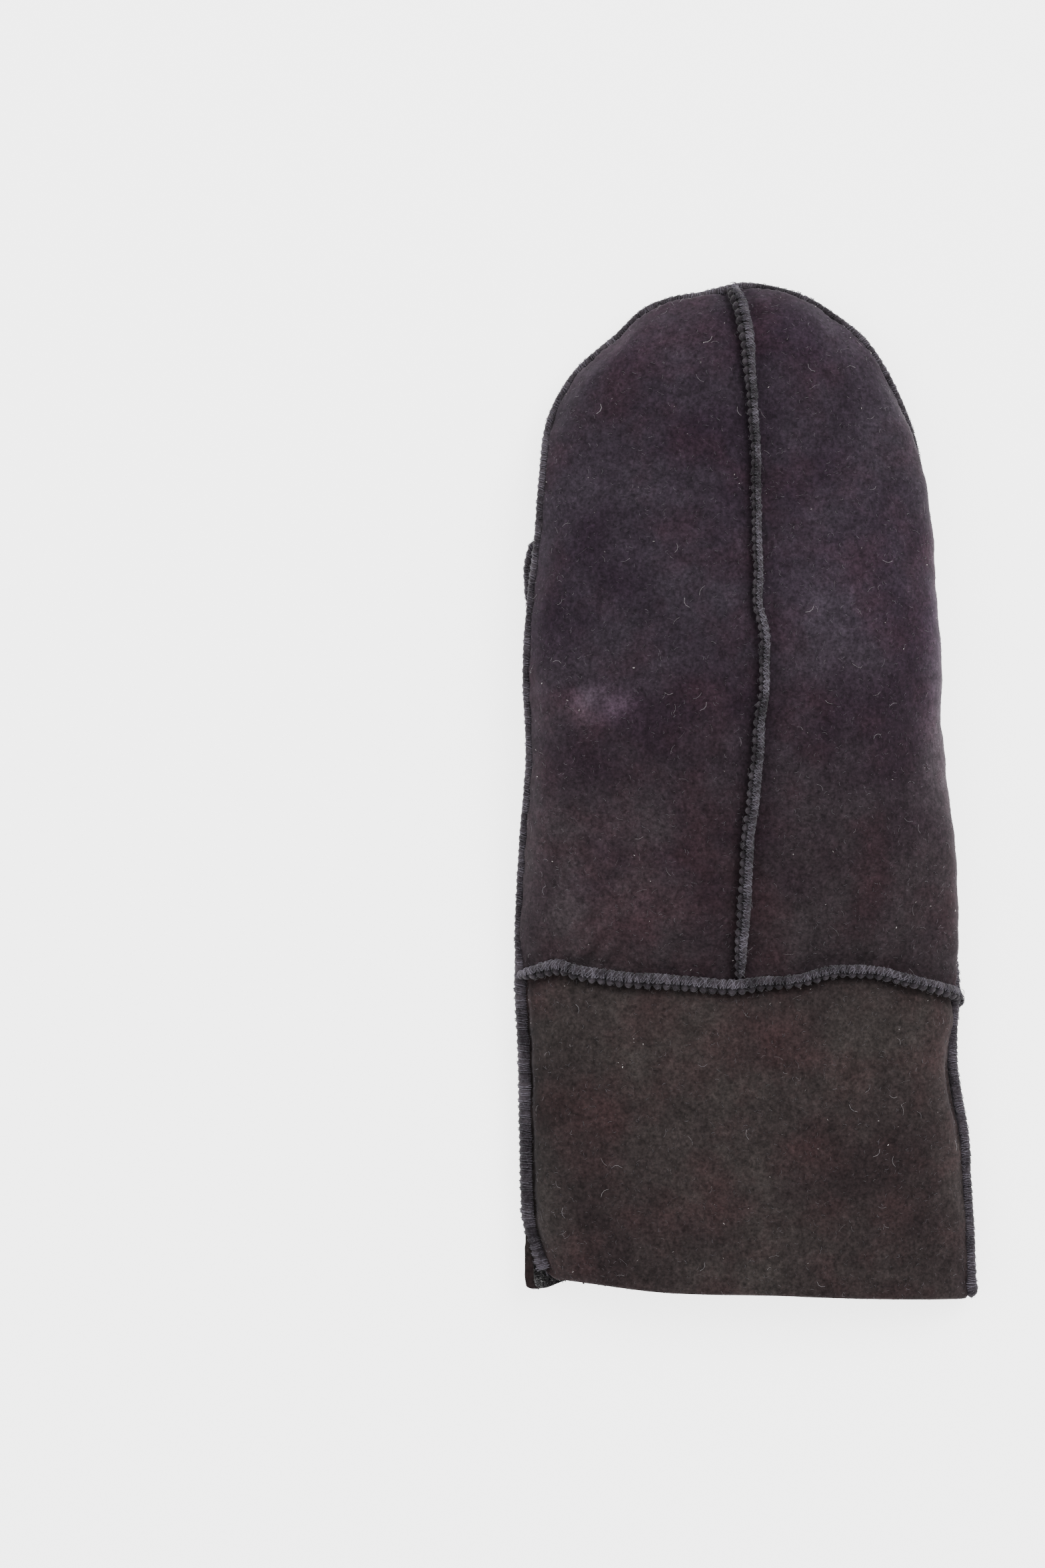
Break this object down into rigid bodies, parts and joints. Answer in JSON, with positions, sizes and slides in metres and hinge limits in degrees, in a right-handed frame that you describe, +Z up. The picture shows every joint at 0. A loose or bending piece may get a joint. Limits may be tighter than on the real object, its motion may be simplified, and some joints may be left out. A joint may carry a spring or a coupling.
{
  "type": "sheepskin mitten",
  "caption": "Right-hand double-face sheepskin mitten with a long cuff, folded thumb and overcast ridge seams, lying on its palm.",
  "frame": {"origin": "middle of the footprint, on the surface that the mitten lies on", "axes": "+Z up out of the back of the hand, +Y towards the fingertips, +X away from the thumb"},
  "size_m": [0.1392, 0.3054, 0.0434],
  "materials": {
    "hand_suede": "napped suede, matt, plum-charcoal",
    "cuff_suede": "napped suede, matt, brown-charcoal",
    "thumb_suede": "napped suede, matt, plum-charcoal",
    "overcast_thread": "waxed thread wound over the raw suede edges, matt, blue-grey charcoal"
  },
  "bodies": {
    "root": {"back_panel_thumb_side": "hand_suede", "back_panel_outer": "hand_suede", "palm_panel": "hand_suede", "cuff_back": "cuff_suede", "cuff_palm": "cuff_suede", "thumb": "thumb_suede", "back_centre_seam": "overcast_thread", "wrist_seam_back": "overcast_thread", "wrist_seam_palm": "overcast_thread", "edge_seam": "overcast_thread", "thumb_edge_seam": "overcast_thread", "thumb_base_seam": "overcast_thread"}
  },
  "joints": []
}
